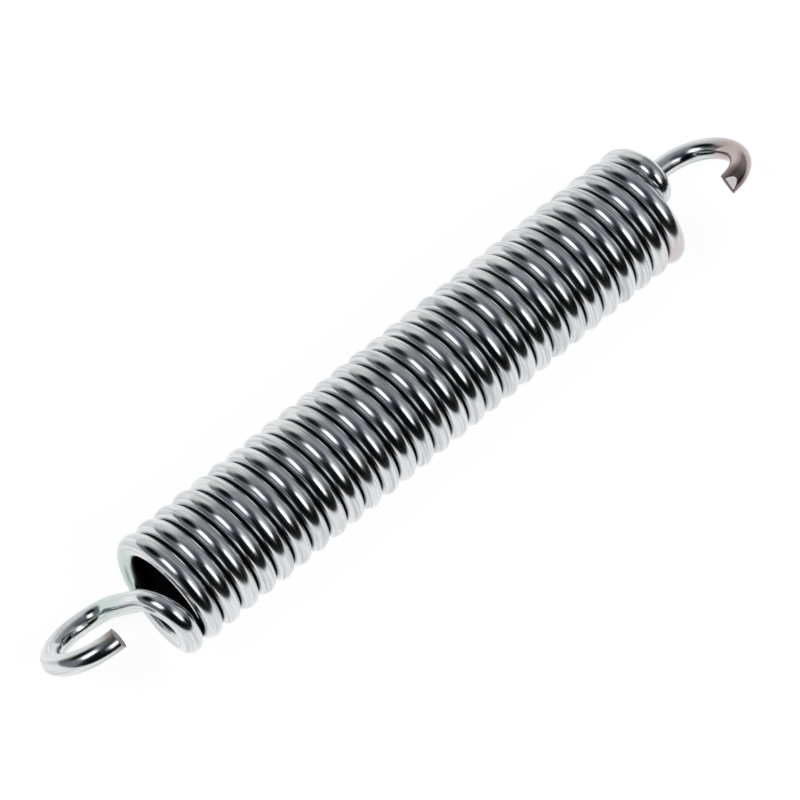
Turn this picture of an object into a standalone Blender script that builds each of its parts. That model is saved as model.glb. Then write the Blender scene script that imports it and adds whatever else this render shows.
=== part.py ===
"""Pruner spring: a close-wound extension spring of plated round wire with a crossover hook at each end.

Metres, +Z up. The spring lies on its side with its axis along X, and the
origin is under its middle on the floor. Angles across the axis are measured
from straight up toward the front, which is the -Y side.
"""

import math
from dataclasses import dataclass

import bpy
from mathutils import Vector

# Wire and coil
WIRE_DIAMETER = 0.0025
COIL_MEAN_DIAMETER = 0.01203
TURN_GAP = 0.000075

# The coil starts just under a fifth of a turn past straight up and ends just short of it on the right
COIL_START_TURN = 0.187
COIL_END_TURN = 28.958

# How far the last turn at each end has left the stack where its hook begins
LEFT_TURN_OPENING = 0.00038
RIGHT_TURN_OPENING = 0.00006

# Left hook
LEFT_TURN_OFF_RADIUS = 0.0032
LEFT_CROSSING_LENGTH = 0.00651
LEFT_CROSSING_ANGLE_DEG = 213.8
LEFT_CROSSING_RISE_DEG = 9.4
LEFT_SHANK_BEND_RADIUS = 0.00362
LEFT_SHANK_LENGTH = 0.00036
LEFT_SHANK_LEAN_DEG = 9.9
LEFT_SHANK_LEAN_ANGLE_DEG = 228.1
LEFT_LOOP_RADIUS = 0.0053
LEFT_LOOP_ANGLE_DEG = 42.8
LEFT_LOOP_SWEEP_DEG = 192.9
LEFT_TAIL_LENGTH = 0.00031

# Right hook
RIGHT_TURN_OFF_RADIUS = 0.00237
RIGHT_CROSSING_LENGTH = 0.00254
RIGHT_CROSSING_ANGLE_DEG = 225.4
RIGHT_CROSSING_RISE_DEG = -3.4
RIGHT_SHANK_BEND_RADIUS = 0.00298
RIGHT_SHANK_LENGTH = 0.00291
RIGHT_SHANK_LEAN_DEG = 2.5
RIGHT_SHANK_LEAN_ANGLE_DEG = 131.1
RIGHT_LOOP_RADIUS = 0.00551
RIGHT_LOOP_ANGLE_DEG = 55.6
RIGHT_LOOP_SWEEP_DEG = 166.4
RIGHT_TAIL_LENGTH = 0.00031

# Facets
SEGMENTS_PER_TURN = 20
BEND_STEP_DEG = 12.0
SECTION_BEVEL_RESOLUTION = 2
SECTION_START_TILT_DEG = 20.73
TANGENT_STEP_TURNS = 0.001

# Bright zinc plate
PLATE_COLOUR = (0.62, 0.64, 0.66, 1.0)
PLATE_ROUGHNESS = 0.14

WIRE_RADIUS = WIRE_DIAMETER / 2
COIL_MEAN_RADIUS = COIL_MEAN_DIAMETER / 2
TURN_PITCH = WIRE_DIAMETER + TURN_GAP


@dataclass(frozen=True)
class Hook:
    """One end of the wire: the turn off the coil, the crossing, the shank, the loop and the tail."""

    side: int
    turn_off_radius: float
    crossing_length: float
    crossing_angle: float
    crossing_rise: float
    shank_bend_radius: float
    shank_length: float
    shank_lean: float
    shank_lean_angle: float
    loop_radius: float
    loop_angle: float
    loop_sweep: float
    tail_length: float


LEFT_HOOK = Hook(
    side=-1,
    turn_off_radius=LEFT_TURN_OFF_RADIUS,
    crossing_length=LEFT_CROSSING_LENGTH,
    crossing_angle=math.radians(LEFT_CROSSING_ANGLE_DEG),
    crossing_rise=math.radians(LEFT_CROSSING_RISE_DEG),
    shank_bend_radius=LEFT_SHANK_BEND_RADIUS,
    shank_length=LEFT_SHANK_LENGTH,
    shank_lean=math.radians(LEFT_SHANK_LEAN_DEG),
    shank_lean_angle=math.radians(LEFT_SHANK_LEAN_ANGLE_DEG),
    loop_radius=LEFT_LOOP_RADIUS,
    loop_angle=math.radians(LEFT_LOOP_ANGLE_DEG),
    loop_sweep=math.radians(LEFT_LOOP_SWEEP_DEG),
    tail_length=LEFT_TAIL_LENGTH,
)

RIGHT_HOOK = Hook(
    side=1,
    turn_off_radius=RIGHT_TURN_OFF_RADIUS,
    crossing_length=RIGHT_CROSSING_LENGTH,
    crossing_angle=math.radians(RIGHT_CROSSING_ANGLE_DEG),
    crossing_rise=math.radians(RIGHT_CROSSING_RISE_DEG),
    shank_bend_radius=RIGHT_SHANK_BEND_RADIUS,
    shank_length=RIGHT_SHANK_LENGTH,
    shank_lean=math.radians(RIGHT_SHANK_LEAN_DEG),
    shank_lean_angle=math.radians(RIGHT_SHANK_LEAN_ANGLE_DEG),
    loop_radius=RIGHT_LOOP_RADIUS,
    loop_angle=math.radians(RIGHT_LOOP_ANGLE_DEG),
    loop_sweep=math.radians(RIGHT_LOOP_SWEEP_DEG),
    tail_length=RIGHT_TAIL_LENGTH,
)


class BentWire:
    """The centreline of a wire as a bending machine makes it: straight feeds and round bends."""

    def __init__(self, start, heading):
        self.heading = heading.normalized()
        self.points = [start]

    def feed(self, length):
        self.points.append(self.points[-1] + self.heading * length)

    def bend(self, inward, radius, sweep):
        """Turns the heading through sweep toward inward, which is square to it."""
        start = self.points[-1]
        heading = self.heading
        steps = math.ceil(sweep / math.radians(BEND_STEP_DEG))
        for step in range(1, steps + 1):
            angle = sweep * step / steps
            along = heading * math.sin(angle)
            across = inward * (1 - math.cos(angle))
            self.points.append(start + (along + across) * radius)
        self.heading = heading * math.cos(sweep) + inward * math.sin(sweep)

    def bend_to(self, heading, radius):
        inward = square_to(self.heading, heading)
        self.bend(inward, radius, self.heading.angle(heading))


def square_to(heading, direction):
    """The part of direction that is square to heading, as a unit vector."""
    return (direction - heading * heading.dot(direction)).normalized()


def across_axis(angle):
    return Vector((0.0, -math.sin(angle), math.cos(angle)))


def leaning_out(side, lean, angle):
    """A direction out of the coil's end that leans off the axis toward an angle across it."""
    return Vector((side * math.cos(lean), 0.0, 0.0)) + across_axis(angle) * math.sin(lean)


def coil_point(turn):
    left_share = max(0.0, COIL_START_TURN + 1 - turn)
    right_share = max(0.0, turn - COIL_END_TURN + 1)
    opening = RIGHT_TURN_OPENING * right_share**2 - LEFT_TURN_OPENING * left_share**2
    place = Vector((TURN_PITCH * turn + opening, 0.0, 0.0))
    return place + across_axis(math.tau * turn) * COIL_MEAN_RADIUS


def coil_turns():
    """Places along the coil, with a straight segment centred under it in every turn."""
    first = math.ceil(COIL_START_TURN * SEGMENTS_PER_TURN)
    last = math.floor(COIL_END_TURN * SEGMENTS_PER_TURN) - 1
    inner = [(index + 0.5) / SEGMENTS_PER_TURN for index in range(first, last + 1)]
    return [COIL_START_TURN] + inner + [COIL_END_TURN]


def hook_points(hook, turn):
    """The centreline of a hook from where it leaves the coil, which is at turn, to its cut end."""
    step = TANGENT_STEP_TURNS * hook.side
    wire = BentWire(coil_point(turn), coil_point(turn + step) - coil_point(turn - step))
    flat = math.pi / 2 - hook.crossing_rise
    wire.bend_to(leaning_out(hook.side, flat, hook.crossing_angle), hook.turn_off_radius)
    wire.feed(hook.crossing_length)
    outward = leaning_out(hook.side, hook.shank_lean, hook.shank_lean_angle)
    wire.bend_to(outward, hook.shank_bend_radius)
    wire.feed(hook.shank_length)
    inward = square_to(wire.heading, across_axis(hook.loop_angle))
    wire.bend(inward, hook.loop_radius, hook.loop_sweep)
    wire.feed(hook.tail_length)
    return wire.points[1:]


def rest_on_floor(points):
    """The points moved so that the spring stands on the floor with its middle over the origin."""
    low = Vector([min(point[axis] for point in points) for axis in range(3)])
    high = Vector([max(point[axis] for point in points) for axis in range(3)])
    middle = (low + high) / 2
    facet_drop = WIRE_RADIUS * math.cos(math.pi / SEGMENTS_PER_TURN)
    shift = Vector((-middle.x, -middle.y, facet_drop - low.z))
    return [point + shift for point in points]


def coil_twist_per_turn():
    """How far a section carried along the coil's chords turns about the wire in each turn."""
    half_step = math.pi / SEGMENTS_PER_TURN
    advance = TURN_PITCH / SEGMENTS_PER_TURN
    lead = math.atan2(advance, COIL_MEAN_RADIUS * math.sin(2 * half_step))
    return 2 * SEGMENTS_PER_TURN * math.atan(math.sin(lead) * math.tan(half_step))


def make_plate():
    material = bpy.data.materials.new("bright_zinc_plate")
    material.use_nodes = True
    shader = material.node_tree.nodes["Principled BSDF"]
    shader.inputs["Base Color"].default_value = PLATE_COLOUR
    shader.inputs["Metallic"].default_value = 1.0
    shader.inputs["Roughness"].default_value = PLATE_ROUGHNESS
    return material


def make_spring_wire():
    turns = coil_turns()
    left = hook_points(LEFT_HOOK, COIL_START_TURN)[::-1]
    right = hook_points(RIGHT_HOOK, COIL_END_TURN)
    points = rest_on_floor(left + [coil_point(turn) for turn in turns] + right)
    marks = [turns[0]] * len(left) + turns + [turns[-1]] * len(right)

    curve = bpy.data.curves.new("spring_wire", "CURVE")
    curve.dimensions = "3D"
    curve.twist_mode = "MINIMUM"
    curve.bevel_depth = WIRE_RADIUS
    curve.bevel_resolution = SECTION_BEVEL_RESOLUTION
    curve.use_fill_caps = True
    curve.materials.append(make_plate())
    spline = curve.splines.new("POLY")
    spline.points.add(len(points) - 1)
    for place, point, turn in zip(spline.points, points, marks):
        place.co = (*point, 1.0)
        place.tilt = math.radians(SECTION_START_TILT_DEG) + coil_twist_per_turn() * turn
    return bpy.data.objects.new("spring_wire", curve)


def clear_scene():
    for item in list(bpy.data.objects):
        bpy.data.objects.remove(item)


def main():
    clear_scene()
    collection = bpy.data.collections.new("pruner_spring")
    bpy.context.scene.collection.children.link(collection)
    collection.objects.link(make_spring_wire())


main()
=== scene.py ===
"""Look of the pruner spring: one bright plated wire, close-wound, a hook at each end.

Metres, +Z up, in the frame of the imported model. Angles across the coil's axis
are measured from straight up toward the front, which is the -Y side.
"""

import logging
import math
from dataclasses import dataclass
from enum import Enum

import bmesh
import bpy
from mathutils import Matrix, Vector


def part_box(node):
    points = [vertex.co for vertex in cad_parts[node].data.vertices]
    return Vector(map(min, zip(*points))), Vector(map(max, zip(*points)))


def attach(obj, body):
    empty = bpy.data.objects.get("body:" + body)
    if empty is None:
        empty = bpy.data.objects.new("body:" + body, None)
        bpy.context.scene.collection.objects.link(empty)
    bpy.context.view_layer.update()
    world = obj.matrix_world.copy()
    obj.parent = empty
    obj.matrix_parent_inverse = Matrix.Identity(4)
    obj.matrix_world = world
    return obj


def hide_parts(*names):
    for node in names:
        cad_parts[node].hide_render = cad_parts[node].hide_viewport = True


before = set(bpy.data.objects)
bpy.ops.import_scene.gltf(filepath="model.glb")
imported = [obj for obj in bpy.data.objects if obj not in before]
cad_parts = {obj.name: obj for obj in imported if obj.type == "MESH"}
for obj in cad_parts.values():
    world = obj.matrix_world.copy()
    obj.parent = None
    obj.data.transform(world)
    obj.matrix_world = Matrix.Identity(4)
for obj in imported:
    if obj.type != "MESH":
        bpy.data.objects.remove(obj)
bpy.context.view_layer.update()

LOG = logging.getLogger("pruner_spring")
MM = 0.001

# The curve of an sRGB channel: straight up to the toe's end, and a power past it.
SRGB_TOE_END, SRGB_TOE_SLOPE = 0.04045, 12.92
SRGB_OFFSET, SRGB_POWER = 0.055, 2.4

# The Mix node's colour sockets share their names with others, so they go by number.
MIX_FIRST, MIX_SECOND, MIX_RESULT = 6, 7, 2

Tree = bpy.types.NodeTree
Socket = bpy.types.NodeSocket


class Side(Enum):
    """The two ends of the coil, as the sign of their direction along X."""

    LEFT = -1
    RIGHT = 1


class CutFace(Enum):
    """What a shear leaves bare, as the number of its material on the wire."""

    BURNISHED = 1
    BROKEN = 2


def linear(hex_colour: str) -> tuple[float, float, float, float]:
    """Turns an sRGB colour into the linear colour that a shader takes.

    Args:
        hex_colour: six hex digits, red first.

    Returns:
        Linear red, green and blue, and an alpha of one.
    """
    shares = [int(hex_colour[at : at + 2], 16) / 255 for at in (0, 2, 4)]
    red, green, blue = (
        share / SRGB_TOE_SLOPE
        if share <= SRGB_TOE_END
        else ((share + SRGB_OFFSET) / (1 + SRGB_OFFSET)) ** SRGB_POWER
        for share in shares
    )
    return (red, green, blue, 1.0)


def add_node(
    tree: Tree,
    kind: str,
    inputs: dict[str | int, object] | None = None,
    **settings: object,
) -> bpy.types.Node:
    """Adds a node with its settings, and sets or links its inputs.

    Args:
        tree: the tree that the node goes into.
        kind: Blender's type name of the node.
        inputs: socket name or number, with a value or the socket to link from.
        settings: the node's own properties.

    Returns:
        The new node.
    """
    node = tree.nodes.new(kind)
    for name, value in settings.items():
        setattr(node, name, value)
    for name, value in (inputs or {}).items():
        if isinstance(value, bpy.types.NodeSocket):
            tree.links.new(value, node.inputs[name])
        else:
            node.inputs[name].default_value = value
    return node


def new_material(name: str) -> bpy.types.Material:
    """Makes a node material with nothing in it.

    Args:
        name: what the material is called.

    Returns:
        The new material.
    """
    material = bpy.data.materials.new(name)
    material.use_nodes = True
    material.node_tree.nodes.clear()
    return material


def across_axis(angle: float) -> Vector:
    """The unit vector across the coil's axis, at an angle from up toward the front."""
    return Vector((0.0, -math.sin(angle), math.cos(angle)))


def leaning_out(side: Side, lean: float, angle: float) -> Vector:
    """A direction out of a coil's end that leans off the axis toward an angle."""
    along = Vector((side.value * math.cos(lean), 0.0, 0.0))
    return along + across_axis(angle) * math.sin(lean)


def toward(azimuth_deg: float, elevation_deg: float) -> Vector:
    """Finds the direction of a thing in the studio.

    Args:
        azimuth_deg: angle round from the front toward +X.
        elevation_deg: angle above the floor.

    Returns:
        The unit vector toward it.
    """
    azimuth, elevation = math.radians(azimuth_deg), math.radians(elevation_deg)
    flat = math.cos(elevation)
    x, y = math.sin(azimuth) * flat, -math.cos(azimuth) * flat
    return Vector((x, y, math.sin(elevation)))


class BentWire:
    """A wire's centreline as a bending machine makes it: straight feeds and bends."""

    def __init__(self, start: Vector, heading: Vector, step: float) -> None:
        """Starts the wire.

        Args:
            start: its first point.
            heading: the direction in which it is fed.
            step: the sweep of one step of a bend.
        """
        self.points = [start]
        self.heading = heading.normalized()
        self.step = step

    def feed(self, length: float, pieces: int) -> None:
        """Feeds wire straight on.

        Args:
            length: how much wire.
            pieces: into how many equal pieces its points divide it.
        """
        start = self.points[-1]
        for piece in range(1, pieces + 1):
            self.points.append(start + self.heading * (length * piece / pieces))

    def bend(self, inward: Vector, radius: float, sweep: float) -> None:
        """Turns the heading on a round bend.

        Args:
            inward: the unit vector toward the bend's middle, square to the heading.
            radius: the bend's radius at the centreline.
            sweep: the angle that the heading turns through.
        """
        start, heading = self.points[-1], self.heading
        steps = math.ceil(sweep / self.step)
        for step in range(1, steps + 1):
            angle = sweep * step / steps
            along = heading * math.sin(angle)
            across = inward * (1 - math.cos(angle))
            self.points.append(start + (along + across) * radius)
        self.heading = heading * math.cos(sweep) + inward * math.sin(sweep)

    def inward_to(self, direction: Vector) -> Vector:
        """The part of a direction that is square to the heading, as a unit vector."""
        return (direction - self.heading * self.heading.dot(direction)).normalized()

    def bend_to(self, heading: Vector, radius: float) -> None:
        """Bends until the wire runs along a heading."""
        self.bend(self.inward_to(heading), radius, self.heading.angle(heading))


@dataclass(frozen=True)
class ShearCut:
    """One flat face that a shear leaves: how far out it is, its aim, what it bares."""

    reach: float
    azimuth_deg: float
    elevation_deg: float
    leaves: CutFace


@dataclass(frozen=True)
class Hook:
    """Sizes of the hook at one end: the turn off the coil, crossing, shank, loop, tail.

    The crossing rises out of the plane across the axis, and the shank leans off
    the axis. Every other angle but the sweep is measured across the axis. The
    waste is the wire past the square end, for the shear to take off.
    """

    side: Side
    turn_off_radius: float
    crossing_length: float
    crossing_angle_deg: float
    crossing_rise_deg: float
    shank_bend_radius: float
    shank_length: float
    shank_lean_deg: float
    shank_lean_angle_deg: float
    loop_radius: float
    loop_angle_deg: float
    loop_sweep_deg: float
    tail_length: float
    waste: float
    cuts: tuple[ShearCut, ...]
    crossing_pieces: int = 8
    shank_pieces: int = 4
    tail_pieces: int = 6

    def centreline(self, start: Vector, heading: Vector, step: float) -> list[Vector]:
        """Bends the hook on from the coil's end.

        Args:
            start: where the wire leaves the coil.
            heading: the wire's direction there.
            step: the sweep of one step of a bend.

        Returns:
            The points after the start, out to the end of the waste.
        """
        wire = BentWire(start, heading, step)
        off_axis = math.radians(90 - self.crossing_rise_deg)
        crossing_angle = math.radians(self.crossing_angle_deg)
        crossing = leaning_out(self.side, off_axis, crossing_angle)
        wire.bend_to(crossing, self.turn_off_radius)
        wire.feed(self.crossing_length, self.crossing_pieces)
        lean = math.radians(self.shank_lean_deg)
        shank = leaning_out(self.side, lean, math.radians(self.shank_lean_angle_deg))
        wire.bend_to(shank, self.shank_bend_radius)
        wire.feed(self.shank_length, self.shank_pieces)
        loop_side = wire.inward_to(across_axis(math.radians(self.loop_angle_deg)))
        wire.bend(loop_side, self.loop_radius, math.radians(self.loop_sweep_deg))
        wire.feed(self.tail_length + self.waste, self.tail_pieces)
        return wire.points[1:]


@dataclass(frozen=True)
class FilmPatch:
    """A place where the passivation film is thick enough to tint the plate.

    The tint is full out to one distance from the place, and gone by another.
    """

    place: tuple[float, float, float]
    full_to: float
    gone_by: float
    colour: str


@dataclass(frozen=True)
class BrightZincPlate:
    """Bright clear-passivated zinc on drawn steel wire.

    The bath leaves a blue-white mirror, slightly clouded, which is duller in the
    grooves between the turns, where its darker colour is painted shade. The
    inside of the coil is painted black with no metal, as painted shade. The
    passivation film tints the plate, mostly brown near the cuts. The drawing die
    leaves faint lines along the wire: the real ones are finer than the picture
    can show, so these are as wide as they need to be.
    """

    plate: str = "DFE0E1"
    clouded: str = "B4B8BD"
    painted_shade_in_grooves: str = "55595E"
    # Painted shade: a darker colour for the grooves between the turns, and black for the
    # inside of the coil.
    painted_black_inside: str = "14161A"
    films: tuple[FilmPatch, ...] = (
        FilmPatch((47.4 * MM, -4.4 * MM, 10.8 * MM), 3.2 * MM, 7.5 * MM, "B8A9A6"),
        FilmPatch((44.6 * MM, -5.8 * MM, 11.4 * MM), 1.0 * MM, 2.8 * MM, "7A6763"),
        FilmPatch((36.5 * MM, -6.5 * MM, 7.0 * MM), 1.5 * MM, 4.5 * MM, "CFC6C8"),
        FilmPatch((-42.8 * MM, -1.6 * MM, 10.4 * MM), 1.0 * MM, 3.0 * MM, "9A8A82"),
        FilmPatch((-37.2 * MM, 5.0 * MM, 6.0 * MM), 3.0 * MM, 7.0 * MM, "C5D2CE"),
    )
    cloud_size: float = 0.34 * MM
    line_width: float = 0.2 * MM
    line_length: float = 7 * MM
    line_height: float = 0.0012 * MM
    line_detail: float = 2.0
    ripple_size: float = 2.6 * MM
    ripple_height: float = 0.003 * MM
    ripple_detail: float = 1.0
    smooth: float = 0.115
    worn: float = 0.23
    sheltered_roughness: float = 0.24
    # Where each effect starts and is full: two on the mask of painted shade and dulling,
    # two on noise.
    groove_shade_and_dulling_span: tuple[float, float] = (0.7, 1.0)
    inside_shade_span: tuple[float, float] = (1.0, 1.3)
    clouded_span: tuple[float, float] = (0.44, 0.72)
    worn_span: tuple[float, float] = (0.35, 0.7)

    def material(self) -> bpy.types.Material:
        """Builds the plate's material from its own colours and sizes.

        Returns:
            The material, which reads the wire's grain, and the mask that gives the plate
            painted shade and dulling.
        """
        material = new_material("bright_zinc_plate")
        tree = material.node_tree
        place = add_node(tree, "ShaderNodeTexCoord").outputs["Object"]
        grain, shade_and_dulling_mask = (
            add_node(tree, "ShaderNodeAttribute", attribute_name=name).outputs[output]
            for name, output in (("grain", "Vector"), ("shade_and_dulling_mask", "Fac"))
        )
        # Painted shade: the mask darkens the grooves, which also grow duller, and paints
        # the inside black with no metal.
        groove_shade_and_dulling_share, painted_inside_shade_share = (
            add_node(
                tree,
                "ShaderNodeMapRange",
                {"Value": shade_and_dulling_mask, "From Min": start, "From Max": full},
                interpolation_type="SMOOTHSTEP",
            ).outputs["Result"]
            for start, full in (self.groove_shade_and_dulling_span, self.inside_shade_span)
        )
        metal = add_node(
            tree, "ShaderNodeMath", {0: 1.0, 1: painted_inside_shade_share}, operation="SUBTRACT"
        )
        lines = self._lines(tree, grain, self.line_width)
        # No specular level: the inside, painted black as painted shade, is matt, and
        # metal takes no heed of it.
        shader = add_node(
            tree,
            "ShaderNodeBsdfPrincipled",
            {
                "Base Color": self._colour(tree, place, grain, groove_shade_and_dulling_share, painted_inside_shade_share),
                "Metallic": metal.outputs[0],
                "Specular IOR Level": 0.0,
                "Roughness": self._roughness(tree, lines, groove_shade_and_dulling_share),
                "Normal": self._relief(tree, place, lines),
            },
        )
        add_node(tree, "ShaderNodeOutputMaterial", {"Surface": shader.outputs["BSDF"]})
        return material

    def _colour(
        self, tree: Tree, place: Socket, grain: Socket, groove_shade_and_dulling_share: Socket, painted_inside_shade_share: Socket
    ) -> Socket:
        """Lays clouds, films, painted shade in the grooves and the inside painted black
        as shade over the plate.

        Args:
            tree: the material's tree.
            place: the point, in metres.
            grain: the point on the drawn surface, with Z along the wire.
            groove_shade_and_dulling_share: how far the grooves carry painted shade and a
                duller plate at the point.
            painted_inside_shade_share: how far the inside is painted black as shade
                there.

        Returns:
            The colour.
        """
        start, full = self.clouded_span
        clouds = add_node(
            tree,
            "ShaderNodeMapRange",
            {
                "Value": self._lines(tree, grain, self.cloud_size),
                "From Min": start,
                "From Max": full,
            },
        )
        layers = [(clouds.outputs["Result"], self.clouded)]
        for film in self.films:
            far = add_node(
                tree,
                "ShaderNodeVectorMath",
                {0: place, 1: film.place},
                operation="DISTANCE",
            )
            share = add_node(
                tree,
                "ShaderNodeMapRange",
                {
                    "Value": far.outputs["Value"],
                    "From Min": film.gone_by,
                    "From Max": film.full_to,
                },
                interpolation_type="SMOOTHSTEP",
            )
            layers.append((share.outputs["Result"], film.colour))
        # Painted shade: darker grooves, and a black inside of the coil.
        layers += [(groove_shade_and_dulling_share, self.painted_shade_in_grooves), (painted_inside_shade_share, self.painted_black_inside)]
        colour: object = linear(self.plate)
        for share, tint in layers:
            mixed = {"Factor": share, MIX_FIRST: colour, MIX_SECOND: linear(tint)}
            colour = add_node(tree, "ShaderNodeMix", mixed, data_type="RGBA")
            colour = colour.outputs[MIX_RESULT]
        return colour

    def _lines(self, tree: Tree, grain: Socket, width: float) -> Socket:
        """Draws noise out along the wire, as the die does.

        Args:
            tree: the material's tree.
            grain: the point on the drawn surface, with Z along the wire.
            width: the width of a line.

        Returns:
            The noise, spread evenly about one half.
        """
        scale = (1 / width, 1 / width, 1 / self.line_length)
        drawn = add_node(
            tree, "ShaderNodeVectorMath", {0: grain, 1: scale}, operation="MULTIPLY"
        )
        return add_node(
            tree,
            "ShaderNodeTexNoise",
            {"Vector": drawn.outputs[0], "Scale": 1.0, "Detail": self.line_detail},
        ).outputs["Fac"]

    def _roughness(self, tree: Tree, lines: Socket, groove_shade_and_dulling_share: Socket) -> Socket:
        """Makes the plate duller along the die's lines and where the bath was kept off.

        Args:
            tree: the material's tree.
            lines: the noise of the die's lines.
            groove_shade_and_dulling_share: how far the plate is duller at the point,
                where the grooves also carry painted shade.

        Returns:
            The roughness.
        """
        start, full = self.worn_span
        lined = add_node(
            tree,
            "ShaderNodeMapRange",
            {
                "Value": lines,
                "From Min": start,
                "From Max": full,
                "To Min": self.smooth,
                "To Max": self.worn,
            },
        ).outputs["Result"]
        return add_node(
            tree,
            "ShaderNodeMix",
            {"Factor": groove_shade_and_dulling_share, "A": lined, "B": self.sheltered_roughness},
            data_type="FLOAT",
        ).outputs["Result"]

    def _relief(self, tree: Tree, place: Socket, lines: Socket) -> Socket:
        """Lays die lines over the slow ripples that coiling leaves in the wire.

        Args:
            tree: the material's tree.
            place: the point, in metres.
            lines: the noise of the die's lines.

        Returns:
            The normal.
        """
        scale, detail = 1 / self.ripple_size, self.ripple_detail
        ripples = add_node(
            tree,
            "ShaderNodeTexNoise",
            {"Vector": place, "Scale": scale, "Detail": detail},
        ).outputs["Fac"]
        rippled = add_node(
            tree, "ShaderNodeBump", {"Distance": self.ripple_height, "Height": ripples}
        )
        return add_node(
            tree,
            "ShaderNodeBump",
            {
                "Distance": self.line_height,
                "Height": lines,
                "Normal": rippled.outputs["Normal"],
            },
        ).outputs["Normal"]


@dataclass(frozen=True)
class ShearedSteel:
    """Spring steel where a shear has cut the wire after plating.

    Bare metal with the close steps that the blade leaves across it: bright and
    warm where the blade has burnished it, dark and dull where it broke.
    """

    name: str
    steel: str
    burnt: str
    roughness: float
    step_width: float = 0.3 * MM
    step_height: float = 0.003 * MM
    step_detail: float = 3.0

    def material(self) -> bpy.types.Material:
        """Builds the cut face's material.

        Returns:
            The material.
        """
        material = new_material(self.name)
        tree = material.node_tree
        place = add_node(tree, "ShaderNodeTexCoord").outputs["Object"]
        scale, detail = 1 / self.step_width, self.step_detail
        steps = add_node(
            tree,
            "ShaderNodeTexNoise",
            {"Vector": place, "Scale": scale, "Detail": detail},
        ).outputs["Fac"]
        colour = add_node(
            tree,
            "ShaderNodeMix",
            {
                "Factor": steps,
                MIX_FIRST: linear(self.steel),
                MIX_SECOND: linear(self.burnt),
            },
            data_type="RGBA",
        )
        relief = add_node(
            tree, "ShaderNodeBump", {"Distance": self.step_height, "Height": steps}
        )
        shader = add_node(
            tree,
            "ShaderNodeBsdfPrincipled",
            {
                "Base Color": colour.outputs[MIX_RESULT],
                "Metallic": 1.0,
                "Roughness": self.roughness,
                "Normal": relief.outputs["Normal"],
            },
        )
        add_node(tree, "ShaderNodeOutputMaterial", {"Surface": shader.outputs["BSDF"]})
        return material


BURNISHED_STEEL = ShearedSteel("burnished_spring_steel", "FFF8F8", "F8EEEE", 0.5)
BROKEN_STEEL = ShearedSteel("broken_spring_steel", "6E5E59", "483B38", 0.45)


@dataclass(frozen=True)
class CoilRule:
    """The close-wound coil: its sizes and the rule that places a point of it."""

    mean_radius: float = 6.015 * MM
    pitch: float = 2.575 * MM
    start_turn: float = 0.187
    end_turn: float = 28.958
    left_opening: float = 0.38 * MM
    right_opening: float = 0.06 * MM
    opening_power: float = 6.0
    segments_per_turn: int = 66
    heading_steps_per_segment: int = 100

    def point(self, turn: float) -> Vector:
        """Places a point of the centreline, for an axis along X through the origin.

        Args:
            turn: how many turns the point is on from turn zero.

        Returns:
            The point.
        """
        left_share = max(0.0, self.start_turn + 1 - turn)
        right_share = max(0.0, turn - self.end_turn + 1)
        right = self.right_opening * right_share**self.opening_power
        left = self.left_opening * left_share**self.opening_power
        place = Vector((self.pitch * turn + right - left, 0.0, 0.0))
        return place + across_axis(math.tau * turn) * self.mean_radius

    def heading(self, turn: float, side: Side) -> Vector:
        """The wire's direction at a turn, going out through that side's end."""
        step = side.value / self.segments_per_turn / self.heading_steps_per_segment
        return self.point(turn + step) - self.point(turn - step)

    def turns(self) -> list[float]:
        """Spaces the coil's points evenly.

        Returns:
            The turn of each, from one end of the coil to the other.
        """
        span = self.end_turn - self.start_turn
        count = math.ceil(span * self.segments_per_turn)
        return [self.start_turn + span * index / count for index in range(count + 1)]


@dataclass(frozen=True)
class ShadeAndDullingRule:
    """How far a point of the coil carries painted shade and a duller plate, by where it
    faces.

    At one the grooves are as dark with painted shade and as dull as they get,
    and at the most the plate is gone: the inside is painted black as shade. The
    groove beside a turn gets it, and more so as the surface turns toward the
    axis. With no turn beside it, only what faces the axis does.
    """

    in_groove: float = 0.88
    inward_gain: float = 3.0
    beside_turn: float = 1.95
    beside_none: float = -1.7
    most: float = 1.3
    gain_from_ends: float = 4.0


LEFT_HOOK = Hook(
    side=Side.LEFT,
    turn_off_radius=3.2 * MM,
    crossing_length=6.51 * MM,
    crossing_angle_deg=213.8,
    crossing_rise_deg=9.4,
    shank_bend_radius=3.62 * MM,
    shank_length=0.36 * MM,
    shank_lean_deg=9.9,
    shank_lean_angle_deg=228.1,
    loop_radius=5.3 * MM,
    loop_angle_deg=42.8,
    loop_sweep_deg=192.9,
    tail_length=0.31 * MM,
    waste=1.0 * MM,
    cuts=(ShearCut(0.04 * MM, 82.0, 22.0, CutFace.BURNISHED),),
)

RIGHT_HOOK = Hook(
    side=Side.RIGHT,
    turn_off_radius=2.37 * MM,
    crossing_length=2.54 * MM,
    crossing_angle_deg=225.4,
    crossing_rise_deg=-3.4,
    shank_bend_radius=2.98 * MM,
    shank_length=2.91 * MM,
    shank_lean_deg=2.5,
    shank_lean_angle_deg=131.1,
    loop_radius=5.51 * MM,
    loop_angle_deg=55.6,
    loop_sweep_deg=166.4,
    tail_length=0.31 * MM,
    waste=1.8 * MM,
    cuts=(
        ShearCut(0.5 * MM, -100.5, -17.5, CutFace.BROKEN),
        ShearCut(3.36 * MM, -14.6, 63.1, CutFace.BURNISHED),
    ),
)


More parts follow.
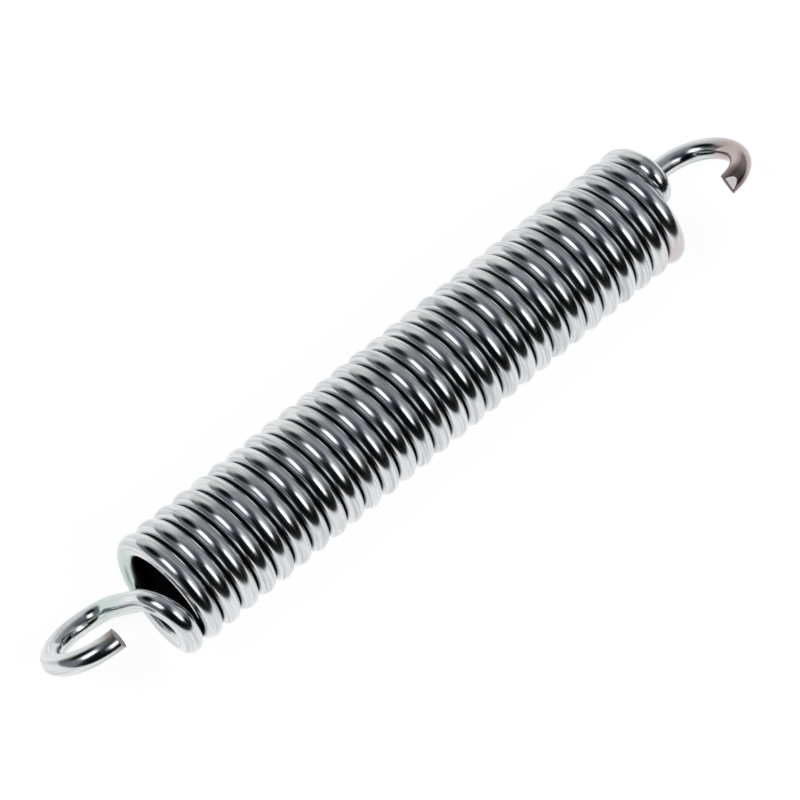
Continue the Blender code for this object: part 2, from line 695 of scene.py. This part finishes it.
@dataclass
class SpringWire:
    """The whole spring: the coil by its rule, a hook at each end, and both cut ends."""

    wire_radius: float = 1.25 * MM
    coil: CoilRule = CoilRule()
    # The mask that paints shade into the grooves and the inside of the coil, and dulls
    # the plate.
    shade_and_dulling_mask: ShadeAndDullingRule = ShadeAndDullingRule()
    left: Hook = LEFT_HOOK
    right: Hook = RIGHT_HOOK
    bend_step_deg: float = 2.5
    section_sides: int = 40
    # What a hook's points carry for a turn, below any turn of the coil.
    hook_mark: float = -1.0
    shear_reach: float = 2.0 * MM
    lip_width: float = 0.12 * MM
    lip_height: float = 0.02 * MM

    def hooks(self) -> tuple[list[Vector], list[Vector]]:
        """Bends both hooks on to the coil.

        Returns:
            The left and the right centreline, as the wire runs from left to right.
        """
        step = math.radians(self.bend_step_deg)
        ends = []
        for hook, turn in (
            (self.left, self.coil.start_turn),
            (self.right, self.coil.end_turn),
        ):
            heading = self.coil.heading(turn, hook.side)
            ends.append(hook.centreline(self.coil.point(turn), heading, step))
        return ends[0][::-1], ends[1]

    def shift(self) -> Vector:
        """Finds what moves the spring from the rule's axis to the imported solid's place.

        Returns:
            The shift, along X and up.
        """
        low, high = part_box("spring_wire")
        left, right = self.hooks()
        reach = [point.x for point in left + right]
        lowest = self.coil.mean_radius + self.wire_radius
        middle = (min(reach) + max(reach)) / 2
        return Vector(((low.x + high.x) / 2 - middle, 0.0, low.z + lowest))

    def guide(self) -> bpy.types.Object:
        """Draws the line that the tree sweeps.

        Returns:
            The line, with the hooks in place and coil points that hold only a turn.
        """
        left, right = self.hooks()
        turns = self.coil.turns()
        shift = self.shift()
        unwound = [Vector()] * len(turns)
        points = [p + shift for p in left] + unwound + [p + shift for p in right]
        marks = [self.hook_mark] * len(left) + turns + [self.hook_mark] * len(right)
        mesh = bpy.data.meshes.new("wire_guide")
        mesh.from_pydata(points, [(at, at + 1) for at in range(len(points) - 1)], [])
        mesh.attributes.new("turn", "FLOAT", "POINT").data.foreach_set("value", marks)
        guide = bpy.data.objects.new("wire_guide", mesh)
        bpy.context.scene.collection.objects.link(guide)
        return guide

    def tree_inputs(self) -> dict[str, float | int]:
        """Lists the sizes that the tree takes.

        Returns:
            Each size by the name of its input.
        """
        shift = self.shift()
        return {
            "Mean Radius": self.coil.mean_radius,
            "Pitch": self.coil.pitch,
            "Start Turn": self.coil.start_turn,
            "End Turn": self.coil.end_turn,
            "Left Opening": self.coil.left_opening,
            "Right Opening": self.coil.right_opening,
            "Opening Power": self.coil.opening_power,
            "Axis Start": shift.x,
            "Axis Height": shift.z,
            "Wire Radius": self.wire_radius,
            "Section Sides": self.section_sides,
        }

    def arithmetic(self) -> tuple[tuple[str | float, ...], ...]:
        """Lists the tree's arithmetic: a coil point's place, then a face's painted shade
        and dulling.

        Returns:
            One row a step: its name, its operation, and its terms, each of which is
            a number, an input of the tree or the name of an earlier step.
        """
        return (
            ("angle", "MULTIPLY", "turn", math.tau),
            ("sine", "SINE", "angle"),
            ("cosine", "COSINE", "angle"),
            ("first turn's end", "ADD", "Start Turn", 1.0),
            ("last turn's start", "SUBTRACT", "End Turn", 1.0),
            ("before", "SUBTRACT", "first turn's end", "turn"),
            ("left share", "MAXIMUM", "before", 0.0),
            ("left growth", "POWER", "left share", "Opening Power"),
            ("left gap", "MULTIPLY", "left growth", "Left Opening"),
            ("after", "SUBTRACT", "turn", "last turn's start"),
            ("right share", "MAXIMUM", "after", 0.0),
            ("right growth", "POWER", "right share", "Opening Power"),
            ("right gap", "MULTIPLY", "right growth", "Right Opening"),
            ("stacked", "MULTIPLY", "turn", "Pitch"),
            ("in place", "ADD", "stacked", "Axis Start"),
            ("right opened", "ADD", "in place", "right gap"),
            ("x", "SUBTRACT", "right opened", "left gap"),
            ("forward", "MULTIPLY", "sine", "Mean Radius"),
            ("y", "MULTIPLY", "forward", -1.0),
            ("up", "MULTIPLY", "cosine", "Mean Radius"),
            ("z", "ADD", "up", "Axis Height"),
            # The rest makes the mask of painted shade and dulling: the grooves beside a
            # turn and what faces the axis.
            ("faces back in", "MULTIPLY", "facing Y", "sine"),
            ("faces up out", "MULTIPLY", "facing Z", "cosine"),
            ("inward", "SUBTRACT", "faces back in", "faces up out"),
            ("has right", "LESS_THAN", "turn", "last turn's start"),
            ("has left", "GREATER_THAN", "turn", "first turn's end"),
            ("to right", "MULTIPLY", "facing X", "has right"),
            ("faces left", "MULTIPLY", "facing X", -1.0),
            ("to left", "MULTIPLY", "faces left", "has left"),
            ("to neighbour", "MAXIMUM", "to right", "to left"),
            ("has neighbour", "GREATER_THAN", "to neighbour", 0.0),
            ("in groove", "MULTIPLY", "to neighbour", self.shade_and_dulling_mask.in_groove),
            ("turned in", "MULTIPLY", "inward", self.shade_and_dulling_mask.inward_gain),
            ("beside turn", "ADD", "turned in", self.shade_and_dulling_mask.beside_turn),
            ("painted_black_inside", "MULTIPLY", "beside turn", "has neighbour"),
            ("at mouth", "ADD", "turned in", self.shade_and_dulling_mask.beside_none),
            ("inside", "MAXIMUM", "painted_black_inside", "at mouth"),
            ("groove or inside shade", "MAXIMUM", "inside", "in groove"),
            ("at most", "MINIMUM", "groove or inside shade", self.shade_and_dulling_mask.most),
            ("in coil", "MAXIMUM", "at most", 0.0),
            ("from start", "SUBTRACT", "turn", "Start Turn"),
            ("from end", "SUBTRACT", "End Turn", "turn"),
            ("from ends", "MINIMUM", "from start", "from end"),
            ("gained", "MULTIPLY", "from ends", self.shade_and_dulling_mask.gain_from_ends),
            ("some", "MAXIMUM", "gained", 0.0),
            ("within", "MINIMUM", "some", 1.0),
            ("shade_and_dulling_mask", "MULTIPLY", "in coil", "within"),
        )

    def winding_tree(self, plate: bpy.types.Material) -> Tree:
        """Builds the tree that winds the coil and sweeps the wire along the whole line.

        Args:
            plate: the material of the drawn surface.

        Returns:
            The node tree, with one named input for each size.
        """
        tree = bpy.data.node_groups.new("wound_wire", "GeometryNodeTree")
        face = tree.interface
        face.new_socket("Geometry", in_out="INPUT", socket_type="NodeSocketGeometry")
        for name, value in self.tree_inputs().items():
            kind = "NodeSocketInt" if isinstance(value, int) else "NodeSocketFloat"
            face.new_socket(name, in_out="INPUT", socket_type=kind)
        face.new_socket("Geometry", in_out="OUTPUT", socket_type="NodeSocketGeometry")
        given = add_node(tree, "NodeGroupInput").outputs
        turn, along, around = (
            add_node(
                tree, "GeometryNodeInputNamedAttribute", {"Name": name}, data_type=kind
            ).outputs["Attribute"]
            for name, kind in (
                ("turn", "FLOAT"),
                ("along", "FLOAT"),
                ("around", "FLOAT_VECTOR"),
            )
        )
        normal = add_node(tree, "GeometryNodeInputNormal").outputs[0]
        facing = add_node(tree, "ShaderNodeSeparateXYZ", {"Vector": normal}).outputs
        known = {name: given[name] for name in self.tree_inputs()}
        known |= {"turn": turn} | {f"facing {axis}": facing[axis] for axis in "XYZ"}
        for name, operation, *terms in self.arithmetic():
            inputs = {at: known.get(term, term) for at, term in enumerate(terms)}
            step = add_node(tree, "ShaderNodeMath", inputs, operation=operation)
            known[name] = step.outputs[0]

        place = add_node(
            tree,
            "ShaderNodeCombineXYZ",
            {"X": known["x"], "Y": known["y"], "Z": known["z"]},
        )
        in_coil = add_node(
            tree, "FunctionNodeCompare", {0: turn, 1: 0.0}, operation="GREATER_THAN"
        )
        wound = add_node(
            tree,
            "GeometryNodeSetPosition",
            {
                "Geometry": given["Geometry"],
                "Selection": in_coil.outputs[0],
                "Position": place.outputs[0],
            },
        )
        line = add_node(tree, "GeometryNodeMeshToCurve", {"Mesh": wound.outputs[0]})
        length = add_node(tree, "GeometryNodeSplineParameter").outputs["Length"]
        marked = add_node(
            tree,
            "GeometryNodeStoreNamedAttribute",
            {"Geometry": line.outputs[0], "Name": "along", "Value": length},
            data_type="FLOAT",
            domain="POINT",
        )
        circle = add_node(
            tree,
            "GeometryNodeCurvePrimitiveCircle",
            {"Resolution": given["Section Sides"], "Radius": given["Wire Radius"]},
            mode="RADIUS",
        )
        on_circle = add_node(tree, "GeometryNodeInputPosition").outputs[0]
        section = add_node(
            tree,
            "GeometryNodeStoreNamedAttribute",
            {
                "Geometry": circle.outputs["Curve"],
                "Name": "around",
                "Value": on_circle,
            },
            data_type="FLOAT_VECTOR",
            domain="POINT",
        )
        swept = add_node(
            tree,
            "GeometryNodeCurveToMesh",
            {
                "Curve": marked.outputs[0],
                "Profile Curve": section.outputs[0],
                "Fill Caps": True,
            },
        )
        along_z = add_node(tree, "ShaderNodeCombineXYZ", {"Z": along}).outputs[0]
        drawn = add_node(
            tree, "ShaderNodeVectorMath", {0: around, 1: along_z}, operation="ADD"
        )
        dressed = swept
        # The grain, and the mask that paints shade into the grooves and inside, go on the
        # mesh.
        for name, value, kind in (
            ("grain", drawn.outputs[0], "FLOAT_VECTOR"),
            ("shade_and_dulling_mask", known["shade_and_dulling_mask"], "FLOAT"),
        ):
            dressed = add_node(
                tree,
                "GeometryNodeStoreNamedAttribute",
                {"Geometry": dressed.outputs[0], "Name": name, "Value": value},
                data_type=kind,
                domain="POINT",
            )
        smooth = add_node(
            tree, "GeometryNodeSetShadeSmooth", {"Geometry": dressed.outputs[0]}
        )
        real = add_node(
            tree, "GeometryNodeRealizeInstances", {"Geometry": smooth.outputs[0]}
        )
        plated = add_node(
            tree,
            "GeometryNodeSetMaterial",
            {"Geometry": real.outputs[0], "Material": plate},
        )
        add_node(tree, "NodeGroupOutput", {"Geometry": plated.outputs[0]})
        return tree

    def build(
        self, plate: bpy.types.Material, cut: list[bpy.types.Material]
    ) -> bpy.types.Object:
        """Sweeps the wire, makes it a plain mesh and shears its ends.

        Args:
            plate: the material of the drawn surface.
            cut: the materials of the cut faces, in the order of CutFace.

        Returns:
            The finished piece, riding on the spring's body.
        """
        guide = self.guide()
        tree = self.winding_tree(plate)
        winding = guide.modifiers.new("winding", "NODES")
        winding.node_group = tree
        values = self.tree_inputs()
        for item in tree.interface.items_tree:
            if item.in_out == "INPUT" and item.name in values:
                winding[item.identifier] = values[item.name]
        bpy.context.view_layer.update()
        evaluated = guide.evaluated_get(bpy.context.evaluated_depsgraph_get())
        mesh = bpy.data.meshes.new_from_object(evaluated)
        guide.modifiers.remove(winding)
        bpy.data.objects.remove(guide)
        mesh.name = "plated_wire"
        for material in cut:
            mesh.materials.append(material)
        self.cut_ends(mesh)
        wire = bpy.data.objects.new("plated_wire", mesh)
        bpy.context.scene.collection.objects.link(wire)
        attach(wire, "root")
        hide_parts("spring_wire")
        LOG.info("plated_wire: %d faces", len(mesh.polygons))
        return wire

    def cut_ends(self, mesh: bpy.types.Mesh) -> None:
        """Shears both ends of the wire along their cuts.

        Args:
            mesh: the swept wire, with its waste still on.
        """
        left, right = self.hooks()
        shift = self.shift()
        shape = bmesh.new()
        shape.from_mesh(mesh)
        along = shape.verts.layers.float["along"]
        length = max(vert[along] for vert in shape.verts)
        for hook, end, before, tip in (
            (self.left, left[0], left[1], 0.0),
            (self.right, right[-1], right[-2], length),
        ):
            heading = (end - before).normalized()
            square_end = end + shift - heading * hook.waste
            reach = self.shear_reach + hook.waste
            for cut in hook.cuts:
                near = [vert for vert in shape.verts if abs(vert[along] - tip) < reach]
                self.shear(shape, near, cut, square_end + heading * cut.reach)
        self.roll_over(shape)
        bmesh.ops.recalc_face_normals(shape, faces=shape.faces)
        shape.to_mesh(mesh)
        shape.free()

    def shear(
        self,
        shape: bmesh.types.BMesh,
        near: list[bmesh.types.BMVert],
        cut: ShearCut,
        place: Vector,
    ) -> None:
        """Takes off what lies beyond one cut and closes the wire with a flat face.

        Args:
            shape: the wire.
            near: the points of the end that is cut.
            cut: where the cut faces and what it leaves bare.
            place: where the cut meets the line on which the wire runs out.
        """
        edges = {edge for vert in near for edge in vert.link_edges}
        faces = {face for vert in near for face in vert.link_faces}
        sheared = bmesh.ops.bisect_plane(
            shape,
            geom=[*near, *edges, *faces],
            plane_co=place,
            plane_no=toward(cut.azimuth_deg, cut.elevation_deg),
            clear_outer=True,
        )["geom_cut"]
        rim = [item for item in sheared if isinstance(item, bmesh.types.BMEdge)]
        for face in bmesh.ops.contextual_create(shape, geom=rim)["faces"]:
            face.material_index = cut.leaves.value
            face.smooth = False

    def roll_over(self, shape: bmesh.types.BMesh) -> None:
        """Burns the lip of each cut face, and sinks the face a little behind it.

        Args:
            shape: the wire, with its cuts made.
        """
        cut_faces = [face.value for face in CutFace]
        bare = [face for face in shape.faces if face.material_index in cut_faces]
        lips = bmesh.ops.inset_individual(
            shape,
            faces=bare,
            thickness=self.lip_width,
            depth=-self.lip_height,
            use_even_offset=True,
        )
        for face in lips["faces"]:
            face.material_index = CutFace.BROKEN.value


@dataclass(frozen=True)
class RoomTone:
    """A soft-edged area of the studio's walls, and its colour in a reflection.

    The colour is full out to one angle from the middle, and gone by another. A
    height share of one makes the area round, less makes it taller, more flatter.
    """

    azimuth_deg: float
    elevation_deg: float
    full_to_deg: float
    gone_by_deg: float
    colour: str
    height_share: float = 1.0


@dataclass(frozen=True)
class SoftBox:
    """A lamp behind a diffuser that is brightest in its middle."""

    name: str
    azimuth_deg: float
    elevation_deg: float
    width_deg: float
    height_deg: float
    level: float


@dataclass
class Studio:
    """A white sweep, two soft boxes and a grey room around them.

    The sweep's glow and its lit paper add up to white beside the faint shadow.
    """

    floor_size: float = 6.0
    sweep_front: float = 0.024
    sweep_fade: float = 0.03
    sweep_glow: float = 0.86
    paper_albedo: float = 0.36
    dark_albedo: float = 0.03
    lamp_distance: float = 1.5
    lamp_core_share: float = 0.36
    walls: str = "777B81"
    beyond: str = "FFFFFF"
    tones: tuple[RoomTone, ...] = (
        RoomTone(120, 40, 30, 75, "9A9EA1"),
        RoomTone(165, 8, 12, 45, "E9E9E7"),
        RoomTone(0, 90, 10, 32, "737880"),
        RoomTone(-148, 38, 12, 26, "03040A"),
        RoomTone(20, 72, 16, 34, "4F5565", 0.6),
        RoomTone(-50, 62, 8, 26, "343A45"),
        RoomTone(-8, 0, 48, 78, "060A0A", 1.6),
        RoomTone(-44, 32, 18, 36, "060A0C"),
        RoomTone(38, 46, 4, 26, "D0D3D2"),
    )
    lamps: tuple[SoftBox, ...] = (
        SoftBox("front_soft_box", 7.5, 40.0, 31.0, 44.0, 2.6),
        SoftBox("left_soft_box", -99.0, 54.0, 40.0, 38.0, 1.9),
    )

    def build(self) -> None:
        """Builds the floor, the room and the lamps."""
        self._floor()
        self._room()
        for lamp in self.lamps:
            self._hang(lamp)

    def _seen(self, tree: Tree) -> Socket:
        """Tells rays that show the background from rays that only carry light.

        Args:
            tree: the tree of the floor's material.

        Returns:
            One from the camera, off metal or through glass, and nothing for the rest.
        """
        path = add_node(tree, "ShaderNodeLightPath").outputs
        seen = path["Is Camera Ray"]
        for name in ("Is Glossy Ray", "Is Transmission Ray"):
            either = {0: seen, 1: path[name]}
            seen = add_node(tree, "ShaderNodeMath", either, operation="MAXIMUM")
            seen = seen.outputs[0]
        return seen

    def _floor(self) -> None:
        """Lays a white sweep, whose front edge ends in the dark for what metal sees."""
        half = self.floor_size / 2
        signs = ((-1, -1), (1, -1), (1, 1), (-1, 1))
        corners = [(x * half, y * half, 0.0) for x, y in signs]
        mesh = bpy.data.meshes.new("white_sweep")
        mesh.from_pydata(corners, [], [(0, 1, 2, 3)])
        floor = bpy.data.objects.new("white_sweep", mesh)
        bpy.context.scene.collection.objects.link(floor)
        material = new_material("white_sweep_paper")
        tree = material.node_tree
        place = add_node(tree, "ShaderNodeTexCoord").outputs["Object"]
        depth = add_node(tree, "ShaderNodeSeparateXYZ", {"Vector": place}).outputs["Y"]
        lit = add_node(
            tree,
            "ShaderNodeMapRange",
            {
                "Value": depth,
                "From Min": -self.sweep_front - self.sweep_fade,
                "From Max": -self.sweep_front,
            },
            interpolation_type="SMOOTHSTEP",
        ).outputs["Result"]
        camera = add_node(tree, "ShaderNodeLightPath").outputs["Is Camera Ray"]
        white = add_node(
            tree, "ShaderNodeMath", {0: lit, 1: camera}, operation="MAXIMUM"
        ).outputs[0]
        shown = add_node(
            tree,
            "ShaderNodeMath",
            {0: self._seen(tree), 1: white},
            operation="MULTIPLY",
        ).outputs[0]
        level = add_node(
            tree, "ShaderNodeMath", {0: shown, 1: self.sweep_glow}, operation="MULTIPLY"
        ).outputs[0]
        gain = self.paper_albedo - self.dark_albedo
        albedo = add_node(
            tree,
            "ShaderNodeMath",
            {0: white, 1: gain, 2: self.dark_albedo},
            operation="MULTIPLY_ADD",
        ).outputs[0]
        glow = add_node(tree, "ShaderNodeEmission", {"Strength": level})
        paper = add_node(tree, "ShaderNodeBsdfDiffuse", {"Color": albedo})
        both = add_node(
            tree, "ShaderNodeAddShader", {0: glow.outputs[0], 1: paper.outputs[0]}
        )
        add_node(tree, "ShaderNodeOutputMaterial", {"Surface": both.outputs[0]})
        mesh.materials.append(material)

    def _room(self) -> None:
        """Tones the room's walls, and whitens what the camera sees past the floor."""
        world = bpy.data.worlds.new("studio_room")
        world.use_nodes = True
        bpy.context.scene.world = world
        tree = world.node_tree
        tree.nodes.clear()
        heading = add_node(tree, "ShaderNodeTexCoord").outputs["Generated"]
        layers = []
        for area in self.tones:
            squash = Vector((1.0, 1.0, area.height_share))
            aim = toward(area.azimuth_deg, area.elevation_deg) * squash
            squashed = add_node(
                tree,
                "ShaderNodeVectorMath",
                {0: heading, 1: tuple(squash)},
                operation="MULTIPLY",
            )
            unit = add_node(
                tree,
                "ShaderNodeVectorMath",
                {0: squashed.outputs[0]},
                operation="NORMALIZE",
            )
            near = add_node(
                tree,
                "ShaderNodeVectorMath",
                {0: unit.outputs[0], 1: tuple(aim.normalized())},
                operation="DOT_PRODUCT",
            )
            share = add_node(
                tree,
                "ShaderNodeMapRange",
                {
                    "Value": near.outputs["Value"],
                    "From Min": math.cos(math.radians(area.gone_by_deg)),
                    "From Max": math.cos(math.radians(area.full_to_deg)),
                },
                interpolation_type="SMOOTHSTEP",
            )
            layers.append((share.outputs["Result"], area.colour))
        camera = add_node(tree, "ShaderNodeLightPath").outputs["Is Camera Ray"]
        layers.append((camera, self.beyond))
        tone: object = linear(self.walls)
        for share, colour in layers:
            mixed = {"Factor": share, MIX_FIRST: tone, MIX_SECOND: linear(colour)}
            tone = add_node(tree, "ShaderNodeMix", mixed, data_type="RGBA")
            tone = tone.outputs[MIX_RESULT]
        light = add_node(tree, "ShaderNodeBackground", {"Color": tone, "Strength": 1.0})
        add_node(tree, "ShaderNodeOutputWorld", {"Surface": light.outputs[0]})

    def _hang(self, box: SoftBox) -> None:
        """Hangs a soft box over the spring.

        Args:
            box: the lamp. Its width and height are angles, as seen from the spring.
        """
        light = bpy.data.lights.new(box.name, "AREA")
        light.shape = "RECTANGLE"
        light.size, light.size_y = (
            2 * self.lamp_distance * math.tan(math.radians(angle / 2))
            for angle in (box.width_deg, box.height_deg)
        )
        # The power at which a panel of this size glows at the box's level.
        light.energy = math.pi * box.level * light.size * light.size_y
        light.use_nodes = True
        tree = light.node_tree
        tree.nodes.clear()
        spot = add_node(tree, "ShaderNodeNewGeometry").outputs["Parametric"]
        parts = add_node(tree, "ShaderNodeSeparateXYZ", {"Vector": spot}).outputs
        # Both parts run from nothing to one, so the panel's middle is at its half.
        half = 0.5
        glow: object = 1.0
        for axis in ("X", "Y"):
            past_middle = add_node(
                tree, "ShaderNodeMath", {0: parts[axis], 1: half}, operation="SUBTRACT"
            )
            off = add_node(
                tree,
                "ShaderNodeMath",
                {0: past_middle.outputs[0]},
                operation="ABSOLUTE",
            )
            share = add_node(
                tree,
                "ShaderNodeMapRange",
                {
                    "Value": off.outputs[0],
                    "From Min": half,
                    "From Max": self.lamp_core_share / 2,
                },
                interpolation_type="SMOOTHSTEP",
            ).outputs["Result"]
            both = {0: share, 1: glow}
            glow = add_node(tree, "ShaderNodeMath", both, operation="MULTIPLY")
            glow = glow.outputs[0]
        shine = add_node(tree, "ShaderNodeEmission", {"Strength": glow})
        add_node(tree, "ShaderNodeOutputLight", {"Surface": shine.outputs[0]})
        lamp = bpy.data.objects.new(box.name, light)
        away = toward(box.azimuth_deg, box.elevation_deg)
        turned = away.to_track_quat("Z", "Y").to_matrix().to_4x4()
        lamp.matrix_world = Matrix.Translation(away * self.lamp_distance) @ turned
        bpy.context.scene.collection.objects.link(lamp)


@dataclass(frozen=True)
class ProductCamera:
    """A long lens, from the front left and well above."""

    aim: tuple[float, float, float] = (-0.00044, 0.00015, 0.00727)
    azimuth_deg: float = -42.618
    elevation_deg: float = 60.929
    distance: float = 0.46384
    lens_mm: float = 189.01
    sensor_mm: float = 36.0

    def build(self) -> None:
        """Sets the scene's camera."""
        data = bpy.data.cameras.new("product_camera")
        data.lens = self.lens_mm
        data.sensor_width = self.sensor_mm
        camera = bpy.data.objects.new("product_camera", data)
        back = toward(self.azimuth_deg, self.elevation_deg)
        turned = back.to_track_quat("Z", "Y").to_matrix().to_4x4()
        place = Matrix.Translation(Vector(self.aim) + back * self.distance)
        camera.matrix_world = place @ turned
        bpy.context.scene.collection.objects.link(camera)
        bpy.context.scene.camera = camera


def main() -> None:
    """Builds the camera, the spring and the studio."""
    logging.basicConfig(level=logging.INFO, format="%(name)s: %(message)s")
    bpy.context.scene.view_settings.view_transform = "Standard"
    ProductCamera().build()
    LOG.info("camera set")
    cut = [BURNISHED_STEEL.material(), BROKEN_STEEL.material()]
    SpringWire().build(BrightZincPlate().material(), cut)
    Studio().build()
    LOG.info("studio set")


if __name__ == "__main__":
    main()
